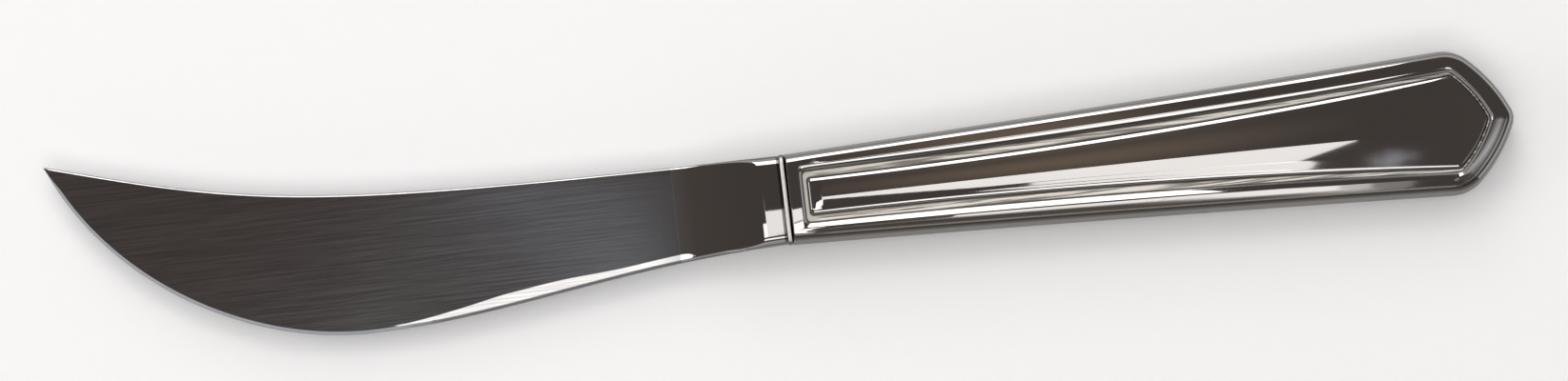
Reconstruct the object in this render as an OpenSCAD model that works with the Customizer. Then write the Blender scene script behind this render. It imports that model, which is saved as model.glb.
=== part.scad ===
// Rocker knife: a curved blade forged with its bolster and tang, in a hollow stainless handle.
// It lies on the flat rim of its handle. +X runs to the butt, +Y to the spine's side, +Z up.

/* [Blade] */
// Length of the blade and bolster, from the tip to the handle
blade_len = 108.5; // [98:0.5:122]
// Height of the tip above the handle's axis
tip_rise = 17.4; // [14:0.1:22]
// Depth of the rocking edge below the handle's axis
belly_drop = 12.5; // [11.5:0.1:15]
// Distance from the handle to the lowest point of the edge
belly_back = 63; // [57:0.5:69]
// Slope of the spine at the tip, in degrees
tip_slope = 16.5; // [14:0.5:20]
// Slope of the edge at the tip, in degrees
point_slope = 68; // [62:1:72]
// Length of the spine's straight run, before it sweeps up
spine_run = 70; // [60:1:76]
// Height of the spine above the handle's axis on that run
spine_rise = 7; // [6.4:0.1:8]
// Thickness at the spine, next to the bolster
spine_t = 2; // [1.6:0.1:2.6]
// Thickness at the spine, at the tip
tip_t = 1.1; // [0.8:0.1:1.5]
// Rounding of the spine's corners
spine_r = 0.35; // [0.1:0.05:0.4]
// Height of the blunted tip
tip_blunt = 0.3; // [0.2:0.05:0.6]

/* [Grind] */
// Thickness behind the sharp edge
belly_t = 1.3; // [1:0.1:1.6]
// Thickness of the sharp edge itself
keen_t = 0.12; // [0.08:0.02:0.2]
// Width of the sharpened bevel
bevel_w = 0.5; // [0.4:0.1:1]
// Width of the ground facet where it is widest
facet_w = 1.6; // [1.2:0.05:2]
// Width of that facet at the heel
facet_heel_w = 0.9; // [0.6:0.05:1.2]
// Tilt of that facet, in degrees
facet_tilt = 4; // [3:0.5:8]
// Width of the border that rolls over below the facet
roll_w = 0.45; // [0.3:0.05:0.6]
// Fall of that border on each face, down to the blunt edge at the heel
roll_fall = 0.27; // [0.2:0.01:0.35]
// Distance from the handle to the facet's round end
facet_start = 14.5; // [12:0.5:18]
// Distance from the handle to the point where the facet has run out
facet_end = 60; // [55:0.5:64]
// Length over which the facet narrows as it runs out
facet_fade = 18; // [12:0.5:22]

/* [Bolster] */
// Length of the bolster and the flare that leads to it
flare_len = 17.5; // [14:0.5:22]
// Length of the bolster's level part
bolster_len = 3; // [2:0.1:5]
// Thickness of the bolster
bolster_t = 7.4; // [6.4:0.1:7.6]
// Height of the bolster across the handle's axis
bolster_w = 13; // [12:0.1:13.1]
// Corner radius of the bolster
bolster_r = 1.4; // [0.8:0.1:1.8]
// Crown of the bolster's faces
bolster_crown = 0.25; // [0.1:0.05:0.5]
// Width of the collar bead
bead_w = 0.7; // [0.6:0.1:1.4]
// Height of the collar bead
bead_h = 0.25; // [0.1:0.05:0.3]

/* [Tang] */
// Width of the spigot that enters the handle
spigot_w = 7; // [6:0.1:8]
// Thickness of the spigot
spigot_t = 4; // [3.4:0.1:4.4]
// Length of the spigot
spigot_len = 3; // [2:0.1:5]
// Length of the tang beyond the spigot
tang_len = 36; // [24:1:50]
// Width of the tang where it leaves the spigot
tang_w = 5.5; // [4.2:0.1:5.9]
// Width of the tang at its end
tang_end_w = 3.5; // [2.5:0.1:4]
// Thickness of the tang
tang_t = 2.6; // [2:0.1:3.2]

/* [Handle] */
// Length of the handle
handle_len = 107.5; // [98:0.5:120]
// Thickness of the handle
handle_t = 8.6; // [8.2:0.1:10]
// Width of the handle at the bolster
neck_w = 13.4; // [13.2:0.1:15]
// Width of the handle across the butt's shoulders
butt_w = 21.6; // [19:0.1:24]
// Length of the gable that closes the butt
gable_len = 7.6; // [6.5:0.1:9]
// Corner radius of the butt's shoulders
shoulder_r = 6; // [4.5:0.1:7]
// Radius of the butt's blunt point
point_r = 3; // [1.5:0.1:4]
// Outward bend of the gable at each of its ends, in degrees
gable_bend = 12; // [0:1:16]
// Lean of the handle's sides towards its faces, in degrees
side_lean = 8; // [4:0.5:10]
// Inward bow of the handle's sides
side_bow = 0.2; // [0:0.05:0.4]
// Thickness of the stamped sheet
wall = 0.9; // [0.7:0.05:1]
// Thickness of the brazed seam between the half shells
seam_t = 0.12; // [0.08:0.02:0.3]

/* [Handle relief] */
// Radius of the rim's outer shoulder
rim_r = 1; // [0.7:0.05:1.2]
// Width of the rim's flat crest at the bolster
rim_land = 0.7; // [0.6:0.05:0.9]
// How much wider that crest is at the butt
rim_gain = 0.4; // [0:0.05:0.6]
// Width of the rim's inner slope
rim_slope_w = 0.7; // [0.5:0.05:0.9]
// Drop of that slope, from the crest to the crease of the cove
rim_fall = 0.32; // [0.2:0.02:0.4]
// Width of the cove between the rim and the panel, at the bolster
cove_w = 1.2; // [1:0.05:1.4]
// How much narrower the cove is at the butt
cove_loss = 0.7; // [0.2:0.05:0.8]
// Depth of the cove below the rim
cove_depth = 0.95; // [0.8:0.05:1.1]
// Width of the step from the cove up to the panel
step_w = 0.75; // [0.5:0.05:0.9]
// Depth of the panel's border below the rim
panel_set = 0.5; // [0.46:0.02:0.6]
// Height of the panel's crown where the panel is widest
panel_crown = 0.45; // [0.2:0.05:0.45]
// Inward bow of the panel's long edges, beyond the bow of the sides
relief_bow = 1.1; // [0:0.1:1.3]
// Corner radius of the relief at the butt's shoulders
panel_r = 1.2; // [1:0.1:2]
// Length of the plain land next to the bolster
land_len = 1.9; // [1.6:0.1:4]
// Radius of the relief's point
relief_point_r = 1.2; // [0.8:0.1:1.6]
// Width of the rim along the gable
gable_rim = 3.15; // [2.9:0.05:3.4]
// Share of the relief's width that is kept along the gable
gable_share = 0.46; // [0.4:0.02:0.7]

/* [Fit] */
// Clearance around the spigot, the tang and the filling
fit_gap = 0.05; // [0.02:0.01:0.1]
// Length of the filling beyond the end of the tang
cement_over = 8; // [3:0.5:20]

/* [Hidden] */

half_t = handle_t / 2;
to_bbox_center = [(blade_len - handle_len) / 2, (belly_drop - tip_rise) / 2, half_t];

// How far the tangent at each end of the blade's curves leads its curve
tip_reach = 33;
point_reach = 20;
belly_fore = 18;
belly_aft = 20;
heel_reach = 26;
heel_sink = 0.5;
// Length over which the blunt heel becomes the sharp edge, the facet's round end, and its trace elsewhere
keen_fade = 8;
facet_round = 2;
facet_least = 0.05;
// Powers by which the flare swells towards the bolster, and its corners widen after it
flare_swell = 1.8;
corner_swell = 4;
// Share of the bead's height that stands out at the spine and at the edge
bead_ends = 0.4;
// Limits that keep the grind inside the narrowing tip, as shares of the blade's height there
facet_limit = 0.45;
bevel_limit = 0.25;
spine_limit = 0.2;
probe = 0.5;

// Steps along the blade and around its section
blade_stations = 40;
tip_crowding = 1.35;
flare_stations = 12;
bead_stations = 6;
face_rows = 3;
corner_rows = 3;

// Steps around the handle's outline and across its rounded forms
front_steps = 10;
side_steps = 9;
shoulder_steps = 6;
gable_steps = 7;
point_steps = 4;
arc_steps = 3;

// Handle outline: the sharp gable whose blunted point ends at the handle's length
gable_slope = atan(butt_w / 2 / gable_len);
apex_x = handle_len + point_r * (1 / sin(gable_slope) - 1);
shoulder_x = apex_x - gable_len;

// Relief across the handle: insets from the outline at the bolster's end, and depths
wall_top_z = half_t - rim_r * (1 - sin(side_lean));
rim_in = lean(wall_top_z) + rim_r * cos(side_lean);
crest_in = rim_in + rim_land;
cove_out = crest_in + rim_slope_w;
cove_in = cove_out + cove_w;
panel_in = cove_in + step_w;
widest_half = butt_w / 2 - butt_of(panel_in);
cove_z = half_t - cove_depth;
panel_z = half_t - panel_set;
roof_z = cove_z - wall;
hollow_in = crest_in - wall / 3;
hollow_top = half_t - wall;
hollow_r = (hollow_in - wall - lean(hollow_top)) / 3;
// Share of the rim's inner slope that falls evenly
slope_even = 0.4;
// Borders of the cove's floor as shares of the cove's width, and rings up the step as shares of the step's
floor_shares = [0.15, 0.75];
step_shares = [0.1, 0.6, 1];
// The relief's return at the bolster's end, as shares of its width along the sides
front_round = 0.25;
front_share = 0.6;
crown_lead = 5;

// How far the handle's side has leant in at a height above the seam
function lean(z) = z * tan(side_lean);

function mix(a, b, t) = a + (b - a) * t;
function unit(t) = min(1, max(0, t));
function ease(t) = let (u = unit(t)) u * u * (3 - 2 * u);
function bezier(c, t) =
    let (s = 1 - t)
    s * s * s * c[0] + 3 * s * s * t * c[1] + 3 * s * t * t * c[2] + t * t * t * c[3];
// Height of a curve that runs steadily towards the tip, found at one X by halving
function height_at(c, x, low = 0, high = 1, left = 26) =
    let (t = (low + high) / 2, p = bezier(c, t))
    left == 0 ? p.y
    : p.x < x ? height_at(c, x, low, t, left - 1)
    : height_at(c, x, t, high, left - 1);

// Blade outline about the handle's axis, with the handle's front face at X = 0
tip = [-blade_len, tip_rise];
lowest = [-belly_back, -belly_drop];
spine_curve = [
    [0, bolster_w / 2],
    [-spine_run, spine_rise],
    tip + tip_reach * [cos(tip_slope), -sin(tip_slope)],
    tip
];
heel_curve = [
    [0, -bolster_w / 2],
    [-heel_reach, -bolster_w / 2 - heel_sink],
    lowest + [belly_aft, 0],
    lowest
];
belly_curve = [
    lowest,
    lowest - [belly_fore, 0],
    tip + point_reach * [cos(point_slope), -sin(point_slope)],
    tip
];
function spine_y(x) = height_at(spine_curve, x);
function edge_y(x) =
    let (y = height_at(x > lowest.x ? heel_curve : belly_curve, x))
    min(y, spine_y(x) - tip_blunt);

// How far the section at X has become the bolster, and how far its edge has become sharp
function flare(x) = pow(unit((x + flare_len) / (flare_len - bolster_len)), flare_swell);
function keen(x) = ease((keen_fade - facet_end - x) / keen_fade);
function bead(x) = let (u = 2 * x / bead_w + 1) bead_h * sqrt(max(0, 1 - u * u));
function facet(x) =
    let (
        u = unit((x + facet_start + facet_round) / facet_round),
        widened = unit((x + facet_start) / (facet_start + facet_fade - facet_end)),
        w = mix(facet_heel_w, facet_w, widened)
    )
    max(facet_least, w * sin(90 * unit((x + facet_end) / facet_fade)) * sqrt(1 - u * u));
// Upright width of a band that is one unit wide along the edge
function upright(x) = let (rise = (edge_y(x + probe) - edge_y(x)) / probe) sqrt(1 + rise * rise);

// Half thickness at the spine, and of the blade's flat carried down to the edge
function back_half(x) = mix(mix(spine_t, tip_t, unit(-x / blade_len)), bolster_t, flare(x)) / 2 + bead(x);
function flat_half(x) =
    let (thinned = ease((x + flare_len) / (flare_len - belly_back)))
    mix(mix(spine_t, belly_t, thinned), bolster_t, flare(x)) / 2 + bead(x);
function face_half(x, top, low, y) =
    let (u = (top - y) / (top - low))
    mix(back_half(x), flat_half(x), u) + flare(x) * bolster_crown * 4 * u * (1 - u);

// Lower border of the section at X: facet, rolled border and edge, as [height above the edge, half thickness]
function ground_border(x, top, low) =
    let (
        tall = top - low,
        edging = mix(roll_w, bevel_w, keen(x)),
        a = min((edging + facet(x)) * upright(x), tall * facet_limit),
        b = min(edging * upright(x), tall * bevel_limit),
        at_a = face_half(x, top, low, low + a),
        at_b = at_a - (a - b) * tan(facet_tilt)
    )
    [[a, at_a], [(a + b) / 2, (at_a + at_b) / 2], [b, at_b], [0, mix(at_b - roll_fall, keen_t / 2, keen(x))]];

// One face of the section at X, from the spine to the edge, as [height, half thickness]
function section(x) =
    let (
        top = spine_y(x) + bead(x) * bead_ends,
        low = edge_y(x) - bead(x) * bead_ends,
        r = min(mix(spine_r, bolster_r, pow(flare(x), corner_swell)), (top - low) * spine_limit),
        ground = ground_border(x, top, low),
        face_low = low + mix(ground[0][0], r, flare(x))
    )
    concat(
        [
            for (i = [0:corner_rows])
            let (q = 90 * i / corner_rows)
            [top - r * (1 - cos(q)), face_half(x, top, low, top - r) - r * (1 - sin(q))]
        ],
        [
            for (i = [1:face_rows])
            let (y = mix(top - r, face_low, i / (face_rows + 1)))
            [y, face_half(x, top, low, y)]
        ],
        [
            for (i = [0:corner_rows])
            let (
                q = 90 * i / corner_rows,
                rounded = [r * (1 - sin(q)), face_half(x, top, low, low + r) - r * (1 - cos(q))]
            )
            [low, 0] + mix(ground[i], rounded, flare(x))
        ]
    );

// The whole section at X: down one face and up the other
function station(x) =
    let (s = section(x), n = len(s))
    concat([for (p = s) [x, p[0], p[1]]], [for (i = [n - 1:-1:0]) [x, s[i][0], -s[i][1]]]);

// Side faces between rings of equal point count
function wrap(rings, count) = [
    for (i = [0:rings - 2])
    for (j = [0:count - 1])
    let (a = i * count + j, b = i * count + (j + 1) % count)
    each [[a, a + count, b], [b, a + count, b + count]]
];

// Handle's side as [height at the bolster, slope], on the edge's side of the axis
function side_line(at_neck, at_butt) =
    let (y = at_neck - neck_w / 2, slope = atan((y - at_butt + butt_w / 2) / shoulder_x))
    [y, slope];
function side_y(line, x) = line[0] - tan(line[1]) * x;
// Where a side line, moved in by r, meets the gable at its own inset
function shoulder_at(line, gable_inset, r) =
    let (
        y = line[0] + r / cos(line[1]),
        x = (sin(gable_slope) * apex_x + cos(gable_slope) * y - gable_inset - r)
            / (sin(gable_slope) + tan(line[1]) * cos(gable_slope))
    )
    [x, y - tan(line[1]) * x];
function arc(center, r, from, to, steps) =
    [for (i = [0:steps]) let (q = mix(from, to, i / steps)) center + r * [cos(q), sin(q)]];

// Half of the handle's outline at an inset: front corner, side, shoulder, gable and point
function half_outline(inset, at_butt, front, relief) =
    let (
        gable_inset = relief ? mix(gable_rim, gable_rim + at_butt - butt_of(crest_in), gable_share) : at_butt,
        r = relief ? panel_r : max(shoulder_r - inset, panel_r),
        p = max(point_r - inset, relief_point_r),
        bow = side_bow + relief_bow * unit((inset - rim_in) / (panel_in - rim_in)),
        line = side_line(inset, at_butt),
        corner = [front, side_y(line, front)],
        leaving = gable_slope - gable_bend,
        landing = gable_slope + gable_bend,
        shoulder = arc(shoulder_at(line, gable_inset, r), r, -90 - line[1], leaving - 90, shoulder_steps),
        nose = arc([apex_x - (gable_inset + p) / sin(gable_slope), 0], p, landing - 90, 0, point_steps),
        start = shoulder[shoulder_steps],
        reach = norm(nose[0] - start) / 3,
        gable = [
            start,
            start + reach * [cos(leaving), sin(leaving)],
            nose[0] - reach * [cos(landing), sin(landing)],
            nose[0]
        ]
    )
    concat(
        [
            for (i = [0:side_steps - 1])
            let (t = i / side_steps)
            mix(corner, shoulder[0], t) + [0, bow * 4 * t * (1 - t)]
        ],
        shoulder,
        [for (i = [1:gable_steps - 1]) bezier(gable, i / gable_steps)],
        nose
    );

// The whole outline: down the front edge, along one side to the point, back along the other
function ring(half) =
    let (n = len(half), corner = half[0])
    concat(
        [for (i = [0:front_steps - 1]) [corner.x, -corner.y * (1 - 2 * i / front_steps)]],
        half,
        [for (i = [n - 2:-1:1]) [half[i].x, -half[i].y]]
    );

// Inset at the butt that goes with an inset at the bolster: the crest widens and the cove narrows
function butt_of(inset) =
    inset + rim_gain * unit((inset - rim_in) / rim_land) - cove_loss * unit((inset - cove_out) / cove_w);
// Front inset that goes with a side inset: a plain land, then the relief's return
function front_of(inset, relief) = relief ? land_len + (inset - crest_in) * front_share : inset * front_round;
function level(inset, z, relief) = [inset, butt_of(inset), front_of(inset, relief), z, relief];

// Levels of the half shell, from the roof of its cavity, down inside and over the rim to the panel
function inner_wall(z, more) = let (inset = wall + lean(z) + more) [inset, inset, wall + more, z, false];
inner_levels = [
    level(panel_in + wall, panel_z - wall, true),
    level(cove_in + wall / 2, roof_z, true),
    level(crest_in, roof_z, true),
    level(hollow_in, hollow_top, true),
    inner_wall(hollow_top, hollow_r),
    inner_wall(hollow_top - hollow_r, 0),
    [wall, wall, wall, seam_t / 2, false]
];
outer_levels = concat(
    [level(0, seam_t / 2, false)],
    [
        for (i = [0:arc_steps])
        let (q = mix(side_lean, 90, i / arc_steps))
        level(rim_in - rim_r * cos(q), half_t - rim_r * (1 - sin(q)), false)
    ],
    [
        for (i = [0:arc_steps])
        let (t = i / arc_steps)
        level(crest_in + rim_slope_w * t, half_t - rim_fall * mix(t * t, t, slope_even), true)
    ],
    [for (t = floor_shares) level(mix(cove_out, cove_in, t), cove_z, true)],
    [for (t = step_shares) level(mix(cove_in, panel_in, t), mix(cove_z, panel_z, sin(90 * t)), true)]
);
shell_levels = concat(inner_levels, outer_levels);

// Rise of the crown over a panel half_w wide on each side, at a share of that width from its middle
function crown_rise(half_w, share, from_front) =
    panel_crown * abs(half_w) / widest_half * (1 - share * share) * ease(from_front / crown_lead);

// A pressed half shell: rings from the cavity's roof to the panel, closed by crossing rows at both ends
module half_shell() {
    halves = [for (v = shell_levels) half_outline(v[0], v[1], v[2], v[4])];
    n = len(halves[0]);
    m = front_steps;
    count = m + 2 * n - 2;
    last = len(halves) - 1;
    rings = [for (i = [0:last]) [for (p = ring(halves[i])) [p.x, p.y, shell_levels[i][3]]]];
    function rows(i) = [
        for (c = [1:n - 2])
        for (r = [1:m - 1])
        let (p = halves[i][c], share = 2 * r / m - 1)
        [p.x, -p.y * share, shell_levels[i][3] + crown_rise(p.y, share, p.x - shell_levels[i][2])]
    ];
    function spot(i, first, c, r) =
        c == 0 ? i * count + m - r
        : c == n - 1 ? i * count + m + n - 1
        : r == 0 ? i * count + m + c
        : r == m ? i * count + count - c
        : first + (c - 1) * (m - 1) + r - 1;
    function cap(i, first) = [
        for (c = [0:n - 2])
        for (r = [0:m - 1])
        let (
            a = spot(i, first, c, r),
            b = spot(i, first, c + 1, r),
            d = spot(i, first, c + 1, r + 1),
            e = spot(i, first, c, r + 1)
        )
        each b == d ? [[a, e, b]] : [[a, e, b], [e, d, b]]
    ];
    roof_first = (last + 1) * count;
    panel_first = roof_first + (n - 2) * (m - 1);
    roof = [for (f = cap(0, roof_first)) [f[2], f[1], f[0]]];
    polyhedron(
        concat([for (r = rings) each r], rows(0), rows(last)),
        concat(roof, wrap(last + 1, count), cap(last, panel_first))
    );
}

// Room for the spigot through the handle's front wall
module mouth(depth) {
    translate([-wall, -spigot_w / 2 - fit_gap, -depth / 2])
        cube([3 * wall, spigot_w + 2 * fit_gap, depth]);
}

module shell_with_mouth() {
    difference() {
        half_shell();
        mouth(spigot_t + 2 * fit_gap);
    }
}

// Spigot and tapered tang, grown by a clearance, with a root inside the bolster
module tang(grow, root) {
    reach = spigot_len + tang_len + grow;
    translate([-root, -spigot_w / 2 - grow, -spigot_t / 2 - grow])
        cube([root + spigot_len + grow, spigot_w + 2 * grow, spigot_t + 2 * grow]);
    translate([0, 0, -tang_t / 2 - grow])
        linear_extrude(tang_t + 2 * grow)
            polygon([
                [0, -tang_w / 2 - grow],
                [reach, -tang_end_w / 2 - grow],
                [reach, tang_end_w / 2 + grow],
                [0, tang_w / 2 + grow]
            ]);
}

// Blade, flare, bolster and bead as one skin over sections across the knife
module forging() {
    thin = [
        for (i = [blade_stations:-1:1])
        -mix(flare_len, blade_len, 1 - pow(1 - i / blade_stations, tip_crowding))
    ];
    flared = [for (i = [flare_stations:-1:1]) -mix(bead_w, flare_len, i / flare_stations)];
    collar = [for (i = [0:bead_stations]) -bead_w / 2 * (1 + cos(180 * i / bead_stations))];
    stations = [for (x = concat(thin, flared, collar)) station(x)];
    count = len(stations[0]);
    butt_face = (len(stations) - 1) * count;
    polyhedron(
        [for (s = stations) each s],
        concat(
            [[for (j = [0:count - 1]) j]],
            wrap(len(stations), count),
            [[for (j = [count - 1:-1:0]) butt_face + j]]
        )
    );
}

module blade() {
    color("#8d8c8e")
        translate(to_bbox_center) {
            forging();
            tang(0, bead_w);
        }
}

module handle_front() {
    color("#9b9795")
        translate(to_bbox_center)
            shell_with_mouth();
}

module handle_back() {
    color("#94908e")
        translate(to_bbox_center)
            mirror([0, 0, 1])
                shell_with_mouth();
}

module seam_braze() {
    color("#b9ab83")
        translate(to_bbox_center)
            difference() {
                translate([0, 0, -seam_t / 2])
                    linear_extrude(seam_t)
                        difference() {
                            polygon(ring(half_outline(0, 0, 0, false)));
                            polygon(ring(half_outline(wall, wall, wall, false)));
                        }
                mouth(handle_t);
            }
}

module tang_cement() {
    depth = 2 * (roof_z - fit_gap);
    inset = wall + lean(roof_z) + fit_gap;
    fill_end = spigot_len + tang_len + cement_over;
    color("#b3a48d")
        translate(to_bbox_center)
            difference() {
                translate([0, 0, -depth / 2])
                    linear_extrude(depth)
                        intersection() {
                            polygon(ring(half_outline(inset, inset, wall + fit_gap, false)));
                            translate([0, -butt_w / 2])
                                square([fill_end, butt_w]);
                        }
                tang(fit_gap, 0);
            }
}

blade();
handle_front();
handle_back();
seam_braze();
tang_cement();
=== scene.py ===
"""A rocker knife on a pale studio floor: a satin curved blade in a polished hollow handle."""
from collections import namedtuple
from math import atan, cos, pi, radians, sin, sqrt, tan

import bmesh
import bpy
from mathutils import Matrix, Vector


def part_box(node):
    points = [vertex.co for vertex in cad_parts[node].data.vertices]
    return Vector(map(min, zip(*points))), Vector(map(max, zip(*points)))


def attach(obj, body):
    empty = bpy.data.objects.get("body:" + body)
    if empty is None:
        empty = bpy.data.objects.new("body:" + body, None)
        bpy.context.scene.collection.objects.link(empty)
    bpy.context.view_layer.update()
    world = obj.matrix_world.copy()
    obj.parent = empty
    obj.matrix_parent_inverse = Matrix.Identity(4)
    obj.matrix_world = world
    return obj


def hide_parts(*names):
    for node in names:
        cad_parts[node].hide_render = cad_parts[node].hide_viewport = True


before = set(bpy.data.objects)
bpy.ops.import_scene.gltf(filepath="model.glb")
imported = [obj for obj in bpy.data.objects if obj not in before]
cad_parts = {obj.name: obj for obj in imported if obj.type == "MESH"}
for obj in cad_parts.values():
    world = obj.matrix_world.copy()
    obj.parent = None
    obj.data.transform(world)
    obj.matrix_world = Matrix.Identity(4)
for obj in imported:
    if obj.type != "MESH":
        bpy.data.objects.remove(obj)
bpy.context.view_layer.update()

# Places and main sizes, read from the frame and kept in millimetres from here on
MM = 0.001
blade_low, blade_high = (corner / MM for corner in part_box("blade"))
shell_low, shell_high = (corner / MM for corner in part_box("handle_front"))
seam_low, seam_high = (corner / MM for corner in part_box("seam_braze"))
joint = Vector((shell_low.x, (shell_low.y + shell_high.y) / 2, (seam_low.z + seam_high.z) / 2))
half_t = shell_high.z - joint.z
handle_len = shell_high.x - joint.x
blade_len = joint.x - blade_low.x
tip_rise = blade_high.y - joint.y
belly_drop = joint.y - blade_low.y
seam_t = seam_high.z - seam_low.z

# Blade outline and thickness
belly_back = 63
tip_slope = radians(16.5)
point_slope = radians(68)
spine_run = 70
spine_rise = 7
spine_t = 2
tip_t = 1.1
spine_r = 0.35
tip_blunt = 0.3
tip_reach = 33
point_reach = 20
belly_fore = 18
belly_aft = 20
heel_reach = 26
heel_sink = 0.5

# Grind along the blade's edge
belly_t = 1.3
keen_t = 0.12
bevel_w = 0.5
facet_w = 1.45
facet_heel_w = 0.8
facet_wide_from = 24
facet_wide_to = 37
facet_tilt = radians(4)
roll_w = 0.45
roll_fall = 0.27
facet_start = 14.5
facet_end = 60.5
facet_fade = 17
facet_round = 2
keen_fade = 8
facet_limit = 0.45
bevel_limit = 0.25
spine_limit = 0.2
least_facet = 0.25
crisp = 0.06
probe = 0.5

# Bolster, collar bead and tang
flare_len = 16.6
flare_swell = 1.8
flare_lead = 0.25
corner_swell = 4
round_from = 10.5
bolster_len = 4.1
bolster_t = 7.4
bolster_w = 13
bolster_r = 1.4
bolster_crown = 0.285
bead_w = 0.7
bead_h = 0.25
bead_ends = 0.4
spigot_w = 7
spigot_t = 4
spigot_len = 3
tang_len = 36
tang_w = 5.5
tang_end_w = 3.5
tang_t = 2.6
fit_gap = 0.05
blade_smooth = radians(28)

# Handle outline
neck_w = 13.4
butt_w = 21.6
gable_len = 7.6
shoulder_r = 6
point_r = 3
gable_bend = radians(12)
side_lean = radians(8)
side_bow = 0.2
wall = 0.9
seam_sunk = 0.03
handle_smooth = radians(32)

# Handle relief: rim, cove, step and panel
rim_r = 1
rim_land = 0.7
rim_gain = 0.4
rim_slope_w = 0.7
rim_fall = 0.32
slope_even = 0.4
crease_share = 0.15
cove_w = 1.2
cove_loss = 0.7
cove_depth = 0.95
step_w = 0.75
panel_set = 0.5
panel_crown = 0.45
relief_bow = 1.1
panel_r = 1.2
land_len = 1.9
relief_point_r = 1.2
gable_rim = 3.15
gable_share = 0.46
front_round = 0.25
front_share = 0.6
crown_lead = 1.1
crown_fade_from = 86
crown_fade_to = 101
front_corner_r = 0.6

# Rows on the crest: their share of its width, and how far along the edge's side they get roughness and
# painted shade
ridge_share = 0.1
crest_rows = [(0, 90), (ridge_share, 90), (0.4, 70), (0.7, 0)]

# Rows down to the cove and along its floor: their share of the way, and how far they are left coarse
crease_rows = [(0.3, 0.2), (0.8, 0.5), (1, 0.6)]
floor_rows = [(0.12, 1), (0.4, 1), (0.72, 1), (0.95, 0.6)]
step_coarse = 0.3

# Polish: the crest leans outwards, more by the butt and gable, and the land by the bolster is crowned
crest_lean = radians(3.5)
crest_lean_from = 16
crest_lean_to = 36
end_lean = radians(9.6)
end_lean_from = 36
end_lean_to = 67
gable_lean = radians(9)
gable_lean_from = 97
gable_lean_to = 101
land_crown_r = 74
land_crown_end = 5

# Faces steeper than this, as the upright part of their normal, take the sides' rougher finish and
# painted shade
side_from = 0.85
side_fade = 0.3

# On the edge's side the handle's shoulder and the outer part of the crest take them too
shoulder_from = 0.985
shoulder_fade = 0.008
shoulder_facing = 0.75
dull_shade_from = 2
dull_shade_to = 4
dull_shade_fade = 24

# Steps along and around the meshes, and the distance in metres within which points are welded
blade_stations = 90
tip_crowding = 1.35
flare_stations = 40
bead_stations = 10
face_rows = 12
corner_rows = 8
front_steps = 12
corner_steps = 4
side_steps = 60
front_crowding = 1.6
shoulder_steps = 14
gable_steps = 18
point_steps = 8
arc_steps = 7
wall_steps = 3
weld = MM / 1000

# Values worked out from these
gable_slope = atan(butt_w / 2 / gable_len)
apex_x = handle_len + point_r * (1 / sin(gable_slope) - 1)
shoulder_x = apex_x - gable_len
wall_top_z = half_t - rim_r * (1 - sin(side_lean))
rim_in = wall_top_z * tan(side_lean) + rim_r * cos(side_lean)
crest_in = rim_in + rim_land
cove_out = crest_in + rim_slope_w
cove_in = cove_out + cove_w
panel_in = cove_in + step_w
cove_z = half_t - cove_depth
panel_z = half_t - panel_set
roof_z = cove_z - wall
outer_corner_r = front_corner_r / 4
hollow_in = crest_in - wall / 3
hollow_top = half_t - wall
hollow_r = (hollow_in - wall - hollow_top * tan(side_lean)) / 3


def mix(a, b, t):
    return a + (b - a) * t


def unit(t):
    return min(1, max(0, t))


def ease(t):
    t = unit(t)
    return t * t * (3 - 2 * t)


def bezier(c, t):
    s = 1 - t
    return c[0] * s ** 3 + c[1] * 3 * s * s * t + c[2] * 3 * s * t * t + c[3] * t ** 3


def place(x, y, z):
    """A point of the knife, given from the joint on the handle's axis, in the frame's metres."""
    return (joint + Vector((x, y, z))) * MM


# Modelling by rings

def start_ring(name, ring):
    """A flat disc whose border lies on the first ring. It stays in edit mode, all selected."""
    bpy.ops.object.select_all(action="DESELECT")
    bpy.ops.mesh.primitive_circle_add(vertices=len(ring), radius=MM, fill_type="NGON")
    piece = bpy.context.object
    piece.name = piece.data.name = name
    bpy.ops.object.mode_set(mode="EDIT")
    lay_ring(piece, ring)
    return piece


def lay_ring(piece, ring):
    """Lays the selected vertices, in their order, on the points of a ring."""
    mesh = bmesh.from_edit_mesh(piece.data)
    chosen = [vert for vert in mesh.verts if vert.select]
    for vert, point in zip(chosen, ring):
        vert.co = place(*point)
    bmesh.update_edit_mesh(piece.data)


def draw_rings(piece, rings):
    """Extrudes the selected disc from ring to ring."""
    for ring in rings:
        bpy.ops.mesh.extrude_region_move()
        lay_ring(piece, ring)


def smooth(piece, angle):
    """Turns all faces outwards and shades them smooth, up to an angle between neighbours."""
    bpy.ops.object.mode_set(mode="EDIT")
    bpy.ops.mesh.select_all(action="SELECT")
    bpy.ops.mesh.normals_make_consistent(inside=False)
    bpy.ops.object.mode_set(mode="OBJECT")
    bpy.ops.object.shade_smooth_by_angle(angle=angle)
    weighted = piece.modifiers.new("weighted", "WEIGHTED_NORMAL")
    weighted.keep_sharp = True
    bpy.ops.object.modifier_apply(modifier=weighted.name)
    mark_sides(piece)


def mark_sides(piece):
    """Marks, point by point, how far a piece takes the sides' rougher finish and painted shade."""
    side = piece.data.attributes.get("side") or piece.data.attributes.new("side", "FLOAT", "POINT")
    shoulder = piece.data.attributes.get("shoulder")
    for vert in piece.data.vertices:
        upward = abs(vert.normal.z)
        share = ease((side_from - upward) / side_fade)
        if shoulder:
            kept = shoulder.data[vert.index].value
            facing = -vert.normal.y > shoulder_facing * vert.normal.xy.length
            dull_shaded = ease((shoulder_from - upward) / shoulder_fade) * facing
            share = max(share, unit(kept) * dull_shaded, kept - 1)
        side.data[vert.index].value = share


# Blade

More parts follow.
